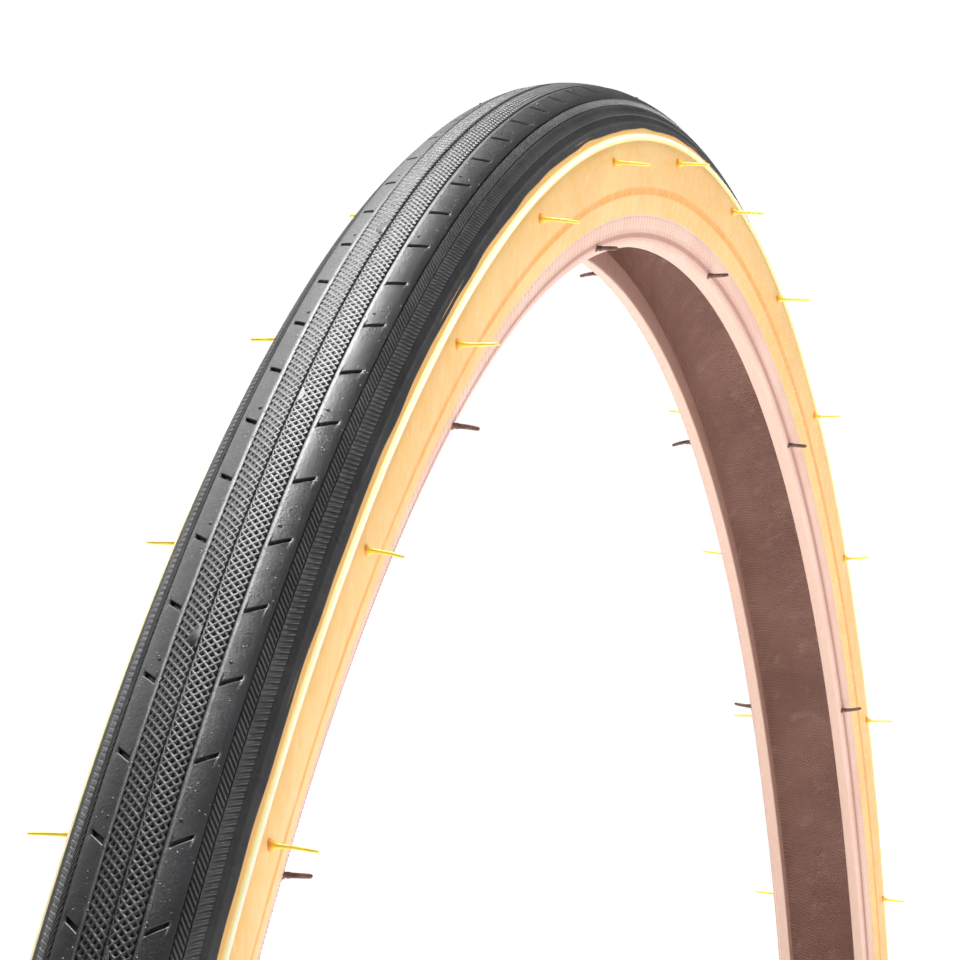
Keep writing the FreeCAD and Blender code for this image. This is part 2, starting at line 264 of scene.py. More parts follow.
# ---------------------------------------------------------------- material helpers
class Nodes:
    """A material's node tree, with short calls for the nodes that it needs."""

    def __init__(self, name):
        self.material = bpy.data.materials.new(name)
        self.material.use_nodes = True
        self.tree = self.material.node_tree
        self.shader = self.tree.nodes["Principled BSDF"]
        self.place = self.tree.nodes.new("ShaderNodeTexCoord").outputs["Object"]
        skin_map = self.tree.nodes.new("ShaderNodeUVMap")
        skin_map.uv_map = "Skin"
        self.skin = skin_map.outputs["UV"]

    def put(self, socket, value):
        if isinstance(value, bpy.types.NodeSocket):
            self.tree.links.new(value, socket)
        else:
            socket.default_value = value

    def set(self, **values):
        """Sets or links the shader's sockets, whose names are written with underscores."""
        for name, value in values.items():
            self.put(self.shader.inputs[name.replace("_", " ")], value)

    def noise(self, scale, detail=2.0, roughness=0.5, vector=None):
        node = self.tree.nodes.new("ShaderNodeTexNoise")
        self.put(node.inputs["Vector"], vector or self.place)
        for name, value in (("Scale", scale), ("Detail", detail), ("Roughness", roughness)):
            node.inputs[name].default_value = value
        return node.outputs["Fac"]

    def cells(self, scale):
        node = self.tree.nodes.new("ShaderNodeTexVoronoi")
        self.put(node.inputs["Vector"], self.place)
        node.inputs["Scale"].default_value = scale
        return node.outputs["Distance"]

    def math(self, kind, a, b=0.0):
        node = self.tree.nodes.new("ShaderNodeMath")
        node.operation = kind
        self.put(node.inputs[0], a)
        self.put(node.inputs[1], b)
        return node.outputs[0]

    def span(self, value, low, high, to_low=0.0, to_high=1.0):
        """Maps a value from one span to another, smoothly and clamped."""
        node = self.tree.nodes.new("ShaderNodeMapRange")
        node.interpolation_type = "SMOOTHSTEP"
        self.put(node.inputs["Value"], value)
        limits = {"From Min": low, "From Max": high, "To Min": to_low, "To Max": to_high}
        for name, number in limits.items():
            node.inputs[name].default_value = number
        return node.outputs["Result"]

    def mix(self, factor, a, b):
        node = self.tree.nodes.new("ShaderNodeMix")
        node.data_type = "RGBA"
        self.put(node.inputs["Factor"], factor)
        self.put(node.inputs["A"], a)
        self.put(node.inputs["B"], b)
        return node.outputs["Result"]

    def along_across(self):
        """The skin map's two numbers, in millimetres."""
        node = self.tree.nodes.new("ShaderNodeSeparateXYZ")
        self.put(node.inputs[0], self.skin)
        return node.outputs["X"], node.outputs["Y"]

    def attribute(self, name):
        node = self.tree.nodes.new("ShaderNodeAttribute")
        node.attribute_name = name
        return node.outputs["Fac"]

    def bump(self, height, distance, strength, below=None):
        """Adds a bump of a depth in metres, on top of an earlier bump if one is given."""
        node = self.tree.nodes.new("ShaderNodeBump")
        node.inputs["Strength"].default_value = strength
        node.inputs["Distance"].default_value = distance
        self.put(node.inputs["Height"], height)
        if below is not None:
            self.put(node.inputs["Normal"], below)
        self.put(self.shader.inputs["Normal"], node.outputs["Normal"])
        return node.outputs["Normal"]


def colour(red, green, blue):
    return (red, green, blue, 1.0)


def tread_rubber():
    """Black rubber with the fine grain of its mould, a few bright specks that are partly dust and partly
    painted glints, and a dusty bloom.
    """
    n = Nodes("tread_rubber")
    bloom = n.span(n.noise(70.0, 4.0, 0.6), 0.35, 0.7)
    grain = n.noise(3200.0, 3.0, 0.6)
    # Bright specks in the colour: partly dust, partly painted glints that stand for the rubber's sparkle in
    # the light.
    specks = n.span(n.cells(1500.0), 0.0, 0.28, 1.0, 0.0)
    scattered_specks_and_glints = n.math("MULTIPLY", specks, n.span(n.noise(420.0, 2.0), 0.52, 0.62))
    dark = n.mix(bloom, colour(0.022, 0.022, 0.0235), colour(0.036, 0.036, 0.039))
    n.set(
        Base_Color=n.mix(n.math("MULTIPLY", scattered_specks_and_glints, 0.45), dark, colour(0.40, 0.40, 0.42)),
        Roughness=n.span(grain, 0.3, 0.7, 0.30, 0.46),
    )
    low = n.bump(n.noise(260.0, 3.0, 0.55), 0.00016, 0.5)
    fine = n.bump(grain, 0.000035, 0.9, low)
    n.bump(scattered_specks_and_glints, 0.00012, 0.8, fine)
    return n.material


def edge_rubber():
    """The tread's plain edge: a valley painted dark as shade, then a strip painted a lighter grey for the
    light it catches, with flow marks.
    """
    n = Nodes("edge_rubber")
    across = n.along_across()[1]
    strip = n.span(n.math("ABSOLUTE", across), STRIP_START - 0.15, STRIP_START + 0.15)
    bloom = n.span(n.noise(90.0, 4.0, 0.6), 0.35, 0.7)
    # Painted shade and light: the valley is painted darker as shade, the strip lighter for the light that
    # falls on it.
    valley = n.mix(bloom, colour(0.018, 0.018, 0.0195), colour(0.028, 0.028, 0.030))
    raised = n.mix(bloom, colour(0.034, 0.034, 0.036), colour(0.052, 0.052, 0.055))
    n.set(
        Base_Color=n.mix(strip, valley, raised),
        Roughness=n.span(n.noise(1400.0, 3.0), 0.3, 0.7, 0.40, 0.56),
    )
    low = n.bump(n.noise(320.0, 3.0, 0.55), 0.00018, 0.5)
    n.bump(n.noise(2600.0, 3.0), 0.00005, 0.8, low)
    return n.material


def file_rubber():
    """The same rubber on the file pattern's net, smoother, with a cloudy dust."""
    n = Nodes("file_rubber")
    dust = n.span(n.noise(120.0, 4.0, 0.6), 0.35, 0.7)
    n.set(
        Base_Color=n.mix(dust, colour(0.026, 0.026, 0.028), colour(0.045, 0.045, 0.048)),
        Roughness=n.span(n.noise(2600.0, 2.0), 0.3, 0.7, 0.34, 0.48),
    )
    n.bump(n.noise(2400.0, 3.0, 0.6), 0.00005, 0.7)
    return n.material


def gum_rubber():
    """Thin tan rubber: warm, a little translucent, with cloudy tone, the cords' faint streaks and a painted
    highlight along the raised rib.
    """
    n = Nodes("gum_rubber")
    along, signed_across = n.along_across()
    across = n.math("ABSOLUTE", signed_across)
    cloud = n.span(n.noise(38.0, 5.0, 0.6), 0.35, 0.68)
    base = n.mix(cloud, colour(0.91, 0.51, 0.160), colour(0.94, 0.58, 0.205))
    shade = n.span(across, TREAD_EDGE, RIB_PLACE + 0.2, 0.45, 0.0)
    shaded = n.mix(shade, base, colour(0.80, 0.42, 0.15))
    # Painted highlight: the rib's flanks are painted yellow and its crest near-white, standing for the
    # light that catches the raised rib.
    from_rib = n.math("ABSOLUTE", n.math("SUBTRACT", across, RIB_PLACE - 0.08))
    painted_flank_highlight = n.mix(n.span(from_rib, 0.25, 0.7, 1.0, 0.0), shaded, colour(1.0, 0.88, 0.36))
    painted_rib_highlight = n.mix(n.span(from_rib, 0.10, 0.35, 1.0, 0.0), painted_flank_highlight, colour(1.0, 0.97, 0.82))
    from_line = n.math("ABSOLUTE", n.math("SUBTRACT", across, LINE_PLACE))
    lined = n.mix(n.span(from_line, 0.35, 0.85, 1.0, 0.0), painted_rib_highlight, colour(0.90, 0.37, 0.055))
    streak_map = n.tree.nodes.new("ShaderNodeCombineXYZ")
    for axis, of_along, of_across in (("X", 0.10, -0.05), ("Y", 0.55, 1.1)):
        slanted = n.math("ADD", n.math("MULTIPLY", along, of_along), n.math("MULTIPLY", across, of_across))
        n.put(streak_map.inputs[axis], slanted)
    streaks = n.span(n.noise(1.6, 2.0, 0.5, streak_map.outputs[0]), 0.56, 0.72)
    worn = n.mix(n.math("MULTIPLY", streaks, 0.30), lined, colour(1.0, 0.80, 0.45))
    n.set(
        Base_Color=worn,
        Roughness=n.span(n.noise(500.0, 3.0), 0.3, 0.7, 0.42, 0.58),
        Subsurface_Weight=0.15,
        Subsurface_Scale=0.0010,
    )
    n.shader.inputs["Subsurface Radius"].default_value = (1.0, 0.5, 0.2)
    low = n.bump(n.noise(180.0, 3.0), 0.00030, 0.35)
    n.bump(n.noise(2200.0, 3.0, 0.6), 0.00004, 0.6, low)
    return n.material


def spew_rubber():
    """Vent hairs: a dark orange foot that thins to a bright yellow, half-clear stem."""
    n = Nodes("spew_rubber")
    tip = n.attribute("tip")
    foot = n.mix(n.span(tip, 0.05, 0.24), colour(0.80, 0.25, 0.035), colour(0.95, 0.66, 0.05))
    n.set(
        Base_Color=n.mix(n.span(tip, 0.15, 0.7), foot, colour(1.0, 0.90, 0.14)),
        Roughness=n.span(n.noise(1800.0, 2.0), 0.3, 0.7, 0.30, 0.45),
        Subsurface_Weight=0.35,
        Subsurface_Scale=0.0006,
    )
    n.bump(n.noise(1600.0, 2.0), 0.00005, 0.5)
    return n.material


def dark_rubber():
    """Brown-black rubber of the bead's vent hairs."""
    n = Nodes("dark_rubber")
    tone = n.span(n.noise(900.0, 3.0), 0.35, 0.65)
    n.set(
        Base_Color=n.mix(tone, colour(0.10, 0.050, 0.040), colour(0.20, 0.105, 0.085)),
        Roughness=n.span(n.noise(1500.0, 2.0), 0.3, 0.7, 0.38, 0.55),
    )
    n.bump(n.noise(1400.0, 3.0), 0.00006, 0.7)
    return n.material


def crossing_cords(n, pitch):
    """Heights of two families of cords that cross on the skin, from 0 to 1."""
    along, across = n.along_across()
    fields = []
    for way in (1.0, -1.0):
        phase = n.math("ADD", along, n.math("MULTIPLY", across, way))
        wave = n.math("SINE", n.math("MULTIPLY", phase, TURN / pitch))
        fields.append(n.span(wave, -1.0, 1.0))
    return fields


def chafer_cloth():
    """Pink woven strip in rubber, brown in a thin ring at the heel and on the inner face; its base face is
    painted a darker pink as shade.
    """
    n = Nodes("chafer_cloth")
    across = n.along_across()[1]
    one, other = crossing_cords(n, 0.62)
    weave = n.math("MAXIMUM", one, n.math("MULTIPLY", other, 0.8))
    cloud = n.span(n.noise(60.0, 4.0), 0.35, 0.7)
    light = n.mix(cloud, colour(0.83, 0.53, 0.43), colour(0.89, 0.61, 0.50))
    woven = n.mix(n.span(weave, 0.25, 0.9), n.mix(0.35, light, colour(0.62, 0.30, 0.22)), light)
    from_ring = n.math("ABSOLUTE", n.math("SUBTRACT", across, HEEL_RING))
    dashes = n.math("MULTIPLY", n.span(one, 0.45, 0.75), n.span(from_ring, 0.7, 1.4, 1.0, 0.0))
    dashed = n.mix(n.math("MULTIPLY", dashes, 0.55), woven, colour(0.45, 0.22, 0.16))
    ringed = n.mix(n.span(from_ring, 0.2, 0.6, 0.9, 0.0), dashed, colour(0.46, 0.22, 0.17))
    # Painted shade: the base face is painted a darker pink than the same cloth on the leg, to offset the
    # light that the glowing floor throws on it.
    painted_shade_base = n.mix(n.span(across, BASE_FACE, BASE_FACE + 0.7), ringed, colour(0.64, 0.42, 0.33))
    n.set(
        Base_Color=n.mix(n.span(across, INNER_FACE, INNER_FACE + 0.7), painted_shade_base, colour(0.40, 0.22, 0.17)),
        Roughness=n.span(n.noise(700.0, 3.0), 0.3, 0.7, 0.50, 0.68),
    )
    low = n.bump(weave, 0.00010, 0.7)
    n.bump(n.noise(2500.0, 3.0), 0.00004, 0.6, low)
    return n.material


def cord_ply():
    """Dull brown rubbered cord cloth: the inside of the casing."""
    n = Nodes("cord_ply")
    one, other = crossing_cords(n, 0.9)
    weave = n.math("MULTIPLY", n.math("ADD", one, other), 0.5)
    cloud = n.span(n.noise(45.0, 5.0, 0.6), 0.3, 0.7)
    brown = n.mix(cloud, colour(0.36, 0.195, 0.155), colour(0.50, 0.29, 0.235))
    dusted = n.mix(n.span(n.noise(300.0, 4.0), 0.55, 0.75, 0.0, 0.5), brown, colour(0.60, 0.43, 0.36))
    n.set(
        Base_Color=n.mix(n.span(weave, 0.1, 0.6, 0.45, 0.0), dusted, colour(0.22, 0.11, 0.08)),
        Roughness=n.span(n.noise(800.0, 3.0), 0.3, 0.7, 0.60, 0.80),
    )
    low = n.bump(weave, 0.00018, 0.8)
    n.bump(n.noise(1800.0, 4.0), 0.00006, 0.7, low)
    return n.material


def plain_rubber(name, dark, light, roughness):
    """Rubber with a cloudy tone and a fine grain."""
    n = Nodes(name)
    n.set(
        Base_Color=n.mix(n.span(n.noise(90.0, 4.0), 0.35, 0.7), dark, light),
        Roughness=n.span(n.noise(900.0, 3.0), 0.3, 0.7, roughness - 0.08, roughness + 0.08),
    )
    n.bump(n.noise(1800.0, 3.0), 0.00005, 0.6)
    return n.material


def bead_steel():
    """Bronze-plated drawn wire."""
    n = Nodes("bead_steel")
    tone = n.span(n.noise(400.0, 3.0), 0.4, 0.7)
    n.set(
        Base_Color=n.mix(tone, colour(0.55, 0.42, 0.24), colour(0.68, 0.58, 0.42)),
        Metallic=1.0,
        Roughness=n.span(n.noise(1500.0, 2.0), 0.3, 0.7, 0.28, 0.42),
    )
    n.bump(n.noise(2600.0, 2.0), 0.00002, 0.5)
    return n.material


RUBBER = tread_rubber()
EDGE = edge_rubber()
FILE = file_rubber()
GUM = gum_rubber()
# Painted light: these two bands use lighter copies of the tread's black rubber, standing for the light that
# their ridges catch.
HATCH = plain_rubber("hatch_rubber", colour(0.070, 0.070, 0.073), colour(0.105, 0.105, 0.110), 0.40)
FINE_RIBS = plain_rubber("fine_rib_rubber", colour(0.034, 0.034, 0.036), colour(0.052, 0.052, 0.055), 0.42)
SPEW = spew_rubber()
DARK = dark_rubber()
CHAFER = chafer_cloth()
CASING = cord_ply()


def finish_piece(piece, slot, *nodes):
    """Every visible piece rides on the one body and stands for its CAD nodes, which it hides; the slot is
    not used.
    """
    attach(piece, BODY)
    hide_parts(*nodes)


# ---------------------------------------------------------------- tread
def tread_base():
    """The body of the tread under its bands, down to the carcass."""
    columns = columns_round(BASE_COLUMNS)
    outer = np.linspace(-BASE_EDGE, BASE_EDGE, 31)
    outer_y, outer_radius = skin(outer, FLOOR)
    inner = np.radians(np.linspace(BASE_SPAN, -BASE_SPAN, 15))
    reach = CARCASS + np.where(np.abs(np.degrees(inner)) < BREAKER_ANGLE + 1, BREAKER, 0)
    y = np.concatenate([outer_y, reach * np.sin(inner)])[:, None]
    radius = np.concatenate([outer_radius, CARCASS_CENTRE + reach * np.cos(inner)])[:, None]
    across = np.concatenate([outer, np.degrees(inner) * 0.2])[:, None]
    piece = ring("tread_base", columns, across, y, radius, RUBBER)
    finish_piece(piece, "tread_rubber", "tread_cap")


def file_band(side_name):
    """A net of crossing ridges round rows of diamond pits, with a plain edge at the centre groove."""
    step = (FILE_EDGE - CENTRE_GAP) / FILE_ROWS
    half = math.pi / FILE_CELLS
    cells = np.arange(FILE_CELLS)
    angle, across, height, faces = [], [], [], []
    total = 0

    def loop(turns, distance, level):
        """Adds a loop of points and returns their numbers."""
        nonlocal total
        angle.append(turns * half)
        across.append(np.full(FILE_CELLS, distance))
        height.append(np.full(FILE_CELLS, level))
        total += FILE_CELLS
        return np.arange(total - FILE_CELLS, total)

    def face(*numbers):
        faces.append(np.stack(numbers, -1))

    def diamond(turns, edge, spots, size, level):
        """Loops for the given corners of a diamond inside a cell."""
        high = size * step
        places = {WEST: (-size, 0.0), NEAR: (0.0, -high), EAST: (size, 0.0), FAR: (0.0, high)}
        return {spot: loop(turns + places[spot][0], edge + places[spot][1], level) for spot in spots}

    edges = [CENTRE_GAP + row * step for row in range(FILE_ROWS + 1)]
    corners = [loop(2 * cells + (row + 1) % 2, edge, 0.0) for row, edge in enumerate(edges)]
    floors = {0: loop(2 * cells + 1, edges[0], UNDERSIDE)}
    floors[FILE_ROWS] = loop(2 * cells + (FILE_ROWS + 1) % 2, edges[-1], UNDERSIDE)

    def sides(line, row):
        """A line of corner points as seen from a cell's west and its east."""
        return (line, np.roll(line, -1)) if row % 2 else (np.roll(line, 1), line)

    for row, edge in enumerate(edges):
        west, east = sides(corners[row], row)
        outline = {WEST: west, EAST: east}
        if row > 0:
            outline[NEAR] = corners[row - 1]
        if row < FILE_ROWS:
            outline[FAR] = corners[row + 1]
        spots = sorted(outline)
        turns = 2 * cells + row % 2
        rim = diamond(turns, edge, spots, FILE_RIM, 0.0)
        pit = diamond(turns, edge, spots, FILE_PIT, -FILE_DEPTH)
        for outer, inner in ((outline, rim), (rim, pit)):
            for one, other in ((WEST, NEAR), (NEAR, EAST), (EAST, FAR), (FAR, WEST)):
                if one in spots and other in spots:
                    face(outer[one], outer[other], inner[other], inner[one])
        face(*(pit[spot] for spot in spots))
        if row in floors:
            floor_west, floor_east = sides(floors[row], row)
            notch = [west, rim[WEST], pit[WEST], pit[EAST], rim[EAST], east, floor_east, floor_west]
            face(*(notch if row else notch[::-1]))
    near, far = floors[0], np.roll(floors[FILE_ROWS], -(FILE_ROWS % 2))
    face(near, far, np.roll(far, -1), np.roll(near, -1))
    angle, across, height = (np.concatenate(parts) for parts in (angle, across, height))
    y, radius = skin(across, height)
    piece = make_mesh(f"file_band_{side_name}", angle, across, y, radius, faces, FILE,
                      SIDES[side_name], 75.0)
    finish_piece(piece, "tread_rubber", "tread_cap")


def smooth_band(side_name):
    """Plain band with a slanted sipe at each pitch and a rounded lip at its inner edge."""
    lip, wall = 0.11, 0.15
    slot = [-lip, 0.0, wall, SIPE_WIDTH - wall, SIPE_WIDTH, SIPE_WIDTH + lip]
    rest = np.linspace(SIPE_WIDTH + lip, GIRTH / SIPE_COUNT - lip, 8)[1:-1]
    offsets = np.array(slot + list(rest))
    ramp = SIPE_END - SIPE_RAMP
    flat = [
        SIPE_START - lip, SIPE_START, SIPE_START + wall,
        *np.linspace(SIPE_START, ramp, 6)[1:-1], ramp, SIPE_END, SIPE_END + lip,
    ]
    rows = [
        (SMOOTH_START, FLOOR), (SMOOTH_START, -0.12), (SMOOTH_START + 0.08, -0.02),
        (SMOOTH_START + 0.25, 0.06), (SMOOTH_START + 0.5, SMOOTH_LIFT),
        *((across, SMOOTH_LIFT) for across in flat),
        (6.7, 0.08), (SMOOTH_EDGE - 0.12, 0.05), (SMOOTH_EDGE - 0.03, -0.02),
        (SMOOTH_EDGE, -0.12), (SMOOTH_EDGE, FLOOR),
    ]
    across, level = (np.array(values) for values in zip(*rows))
    height = np.tile(level[:, None], (1, len(offsets)))
    in_slot = (across > SIPE_START) & (across < SIPE_END)
    at_slot = (across >= SIPE_START) & (across <= SIPE_END)
    height[np.ix_(at_slot, range(1, 5))] -= 0.05
    height[np.ix_(in_slot, range(2, 4))] = -SIPE_DEPTH
    shear = np.clip(across - SIPE_START, 0, SIPE_END - SIPE_START)
    piece = band(f"smooth_band_{side_name}", SIPE_COUNT, offsets, across, shear, height, RUBBER,
                 SIDES[side_name], SIPE_LAG)
    finish_piece(piece, "tread_rubber", "tread_cap")


def hatch_band(name, side_name, start, end, slant, tall, rise, material):
    """Slanted ridges between two distances across; rise is the length of their sloped inner ends."""
    pitch = GIRTH / RIDGES
    offsets = np.array([0.0, 0.16, 0.48, 0.64]) * pitch
    ridge = np.array([0.0, 1.0, 1.0, 0.0]) * tall - tall
    plain, foot = np.full(4, -tall), np.full(4, FLOOR)
    margin = 0.04
    middle = (start + end) / 2 + 0.2
    across = np.array([
        start, start + margin, start + margin + rise, middle, end - 0.14, end - margin, end,
    ])
    height = np.stack([foot, plain, ridge, ridge, ridge, plain, foot])
    shear = slant * (across - start)
    piece = band(f"{name}_{side_name}", RIDGES, offsets, across, shear, height, material,
                 SIDES[side_name])
    finish_piece(piece, "tread_rubber", "tread_cap")


def wavy_edge(angle):
    """Distance across of the tread's edge, where the black rubber flowed over the tan."""
    waves = ((61, 0.08, 0.4), (97, 0.06, 2.1), (149, 0.04, 4.0), (23, 0.06, 1.2))
    return TREAD_EDGE + sum(size * np.sin(cycles * angle + phase) for cycles, size, phase in waves)


def edge_band(side_name):
    """Plain outer band: a shallow valley, then a strip that ends in a thin wavy lip."""
    columns = columns_round(EDGE_COLUMNS)
    valley = [
        (RIB_EDGE, FLOOR), (RIB_EDGE, -0.16), (RIB_EDGE + 0.1, -0.13), (11.3, -0.16),
        (STRIP_START - 0.15, -0.16),
    ]
    strip = [
        (0.1, -0.06), (0.25, 0.0), (0.5, 0.02), (0.75, 0.04), (0.92, 0.05), (0.985, 0.03),
        (1.0, -0.02), (1.0, -0.3),
    ]
    start, level = (np.array(values)[:, None] for values in zip(*valley))
    share, rise = (np.array(values)[:, None] for values in zip(*strip))
    strip_across = STRIP_START + share * (wavy_edge(columns) - STRIP_START)
    across = np.concatenate([start + 0 * columns, strip_across, RIB_EDGE + 0 * columns[:1]])
    height = np.concatenate([level, rise, [[UNDERSIDE]]])
    y, radius = skin(across, height)
    piece = ring(f"edge_band_{side_name}", columns, across, y, radius, EDGE, SIDES[side_name])
    finish_piece(piece, "tread_rubber", "tread_cap")


# ---------------------------------------------------------------- sidewall and bead
def sidewall(side_name):
    """Tan rubber from under the tread's edge to the chafer: a raised rib and a fine line."""
    columns = columns_round(GUM_COLUMNS)
    rib = RIB_PLACE + RIB_HALF_WIDTH * np.array([-1.4, -1.0, -0.75, -0.45, 0.0, 0.45, 0.75, 1.0, 1.4])
    line = LINE_PLACE + LINE_HALF_WIDTH * np.array([-1.6, -1.0, 0.0, 1.0, 1.6])
    above_line, below_line = np.linspace(15.8, 21.8, 6), np.linspace(23.8, GUM_END, 4)
    outer = np.concatenate([[GUM_START], rib, above_line, line, below_line])
    from_rib = np.clip(np.abs(outer - RIB_PLACE) / RIB_HALF_WIDTH, 0, 1)
    from_line = np.clip(np.abs(outer - LINE_PLACE) / LINE_HALF_WIDTH, 0, 1)
    level = RIB_HEIGHT * np.cos(from_rib * math.pi / 2) ** 0.8 - LINE_DEPTH * (1 - from_line)
    slow = 0.035 * np.sin(37 * columns + 0.5 * outer[:, None]) * np.sin(0.9 * outer[:, None] + 11 * columns)
    height = level[:, None] + slow
    inner = np.array([GUM_END, 22.0, 18.5, 15.5, GUM_START])
    across = np.concatenate([outer, inner])[:, None]
    height = np.concatenate([height, np.full((len(inner), columns.size), 0.05 - GUM_THICKNESS)])
    y, radius = skin(across, height)
    piece = ring(f"gum_wall_{side_name}", columns, across, y, radius, GUM, SIDES[side_name])
    finish_piece(piece, "gum_rubber", f"sidewall_{side_name}")


def rounded(corner, before, after, reach):
    """Points of a rounded corner, between a point before it and one after it."""
    corner, before, after = (np.array(point, float) for point in (corner, before, after))
    start = corner + (before - corner) / np.linalg.norm(before - corner) * reach
    end = corner + (after - corner) / np.linalg.norm(after - corner) * reach
    share = np.linspace(0, 1, ROUND_STEPS)[:, None]
    curve = (1 - share) ** 2 * start + 2 * share * (1 - share) * corner + share ** 2 * end
    return [tuple(point) for point in curve]


def chafer(side_name):
    """Woven strip from the sidewall round the bead to its inner flap."""
    inside = GUM_THICKNESS + PLY
    toe_y = FILLER_FACE - inside
    ply_base = BEAD_RADIUS + GUM_THICKNESS
    leg = [(leg_y(radius, 0.04), radius) for radius in np.linspace(CHAFER_TOP, 312.0, 8)]
    heel, toe = (leg_y(BEAD_RADIUS), BEAD_RADIUS), (toe_y, BEAD_RADIUS)
    flap_foot, flap_top = slope_point(inside), slope_point(inside, FLAP_TOP)
    outer = [
        *leg, *rounded(heel, leg[-1], toe, HEEL_ROUND), *rounded(toe, heel, flap_foot, TOE_ROUND),
        (toe_y, 312.4), (toe_y, 313.6), *rounded(flap_foot, toe, flap_top, FLAP_ROUND), flap_top,
    ]
    inner = [
        slope_point(PLY, FLAP_TOP), slope_point(PLY), (FILLER_FACE - PLY, ply_base),
        (leg_y(ply_base, GUM_THICKNESS), ply_base), (leg_y(CHAFER_TOP, GUM_THICKNESS), CHAFER_TOP),
    ]
    points = np.array(outer + inner)
    run = np.concatenate([[0], np.cumsum(np.hypot(*np.diff(points, axis=0).T))]) + GUM_END
    columns = columns_round(CHAFER_COLUMNS)
    y, radius, across = points[:, :1], points[:, 1:], run[:, None]
    piece = ring(f"chafer_strip_{side_name}", columns, across, y, radius, CHAFER, SIDES[side_name])
    finish_piece(piece, "chafer_cloth", f"chafer_{side_name}")


def chafer_weave(side_name):
    """Crossing threads on the strip's outer face: a grid whose points are high and low in turn."""
    across = np.linspace(WEAVE_START, WEAVE_END, WEAVE_ROWS)
    columns = np.arange(2 * WEAVE_CELLS)
    high = (columns[None, :] + np.arange(WEAVE_ROWS)[:, None]) % 2
    height = np.concatenate([(2 * high - 1) * WEAVE_HEIGHT / 2, np.full((1, len(columns)), -0.2)])
    height[[0, -2]] = -0.1
    across = np.concatenate([across, [(WEAVE_START + WEAVE_END) / 2]])[:, None]
    y, radius = skin(across, height)
    angle = columns[None, :] * TURN / len(columns)
    piece = ring(f"chafer_weave_{side_name}", angle, across, y, radius, CHAFER, SIDES[side_name], 70.0)
    finish_piece(piece, "chafer_cloth", f"chafer_{side_name}")


def casing_inside():
    """The inner cord ply: from flap to flap over the inside of the tire."""
    depth = GUM_THICKNESS + 2 * PLY
    slope = [slope_point(PLY, radius) for radius in (315.1, 315.9, 316.7, 317.5)]
    leg = [(leg_y(radius, depth), radius) for radius in (318.5, 320.3)]
    reach = CARCASS - 2 * PLY
    crown = [(reach * math.sin(turn), CARCASS_CENTRE + reach * math.cos(turn))
             for turn in np.radians(np.linspace(94, 0, 16))]
    half = np.array(slope + leg + crown)
    inner = np.concatenate([half, (half * [-1, 1])[-2::-1]])
    tangent = np.gradient(inner, axis=0)
    normal = np.stack([tangent[:, 1], -tangent[:, 0]], -1) / np.linalg.norm(tangent, axis=1)[:, None]
    outer = (inner + normal * PLY * 0.8)[::-4]
    points = np.concatenate([inner, outer])
    run = np.concatenate([[0], np.cumsum(np.hypot(*np.diff(inner, axis=0).T))])
    across = np.concatenate([run, run[::-4]])[:, None]
    columns = columns_round(CASING_COLUMNS)
    piece = ring("casing_inside", columns, across, points[:, :1], points[:, 1:], CASING)
    finish_piece(piece, "cord_ply", "casing_ply_inner")


# ---------------------------------------------------------------- vent hairs and stubs
def hair(path, widths):
    """Points, faces and tip values of one hair along a path, with a rounded end."""
    path = np.array(path)
    tangent = np.gradient(path, axis=0)
    tangent /= np.linalg.norm(tangent, axis=1)[:, None]
    across = np.cross(tangent, np.array([0.0, 0.0, 1.0]) + 0 * tangent)
    across /= np.linalg.norm(across, axis=1)[:, None]
    up = np.cross(across, tangent)
    turns = np.linspace(0, TURN, HAIR_SIDES, endpoint=False)
    rings = [centre + width * (np.cos(turns)[:, None] * a + np.sin(turns)[:, None] * b)
             for centre, width, a, b in zip(path, widths, across, up)]
    points = np.concatenate(rings)
    index = np.arange(len(points)).reshape(len(path), HAIR_SIDES)
    tips = np.repeat(np.linspace(0, 1, len(path)), HAIR_SIDES)
    return points, walls(index), [index[0][::-1], index[-1]], tips


def hair_group(name, side_name, place, material, slot, count, lag, length, width, flare):
    """Hairs round one side of the tire, each with a flared foot and its own slight bend."""
    side = SIDES[side_name]
    y, radius = (float(value) for value in place)
    steps = np.array([0.0, 0.05, 0.12, 0.20, 0.32, 0.46, 0.60, 0.74, 0.88, 0.97, 1.0])
    shape = np.array([flare, flare * 0.88, flare * 0.62, 1.25, 1.0, 0.97, 0.95, 0.92, 0.86, 0.68, 0.25])
    points, quads, caps, tips = [], [], [], []
    total = 0
    for number in range(count):
        turn = math.radians(lag + number * 360.0 / count)
        bend_out, bend_along = random.normal(0, 0.35, 2)
        reach = length * random.uniform(0.86, 1.08)
        out = radius + bend_out * steps ** 2
        slid = turn + bend_along * steps ** 2 / radius
        stem_y = side * (y - 0.15 + reach * steps)
        path = np.stack([out * np.sin(slid), stem_y, out * np.cos(slid)], -1)
        new_points, new_quads, new_caps, new_tips = hair(path, shape * width / 2)
        points.append(new_points)
        quads.append(new_quads + total)
        caps += [cap + total for cap in new_caps]
        tips.append(new_tips)
        total += len(new_points)
    node = f"{name}_{side_name}"
    loose_mesh(f"{name}_hairs_{side_name}", points, quads, caps, material, slot, node, tips)


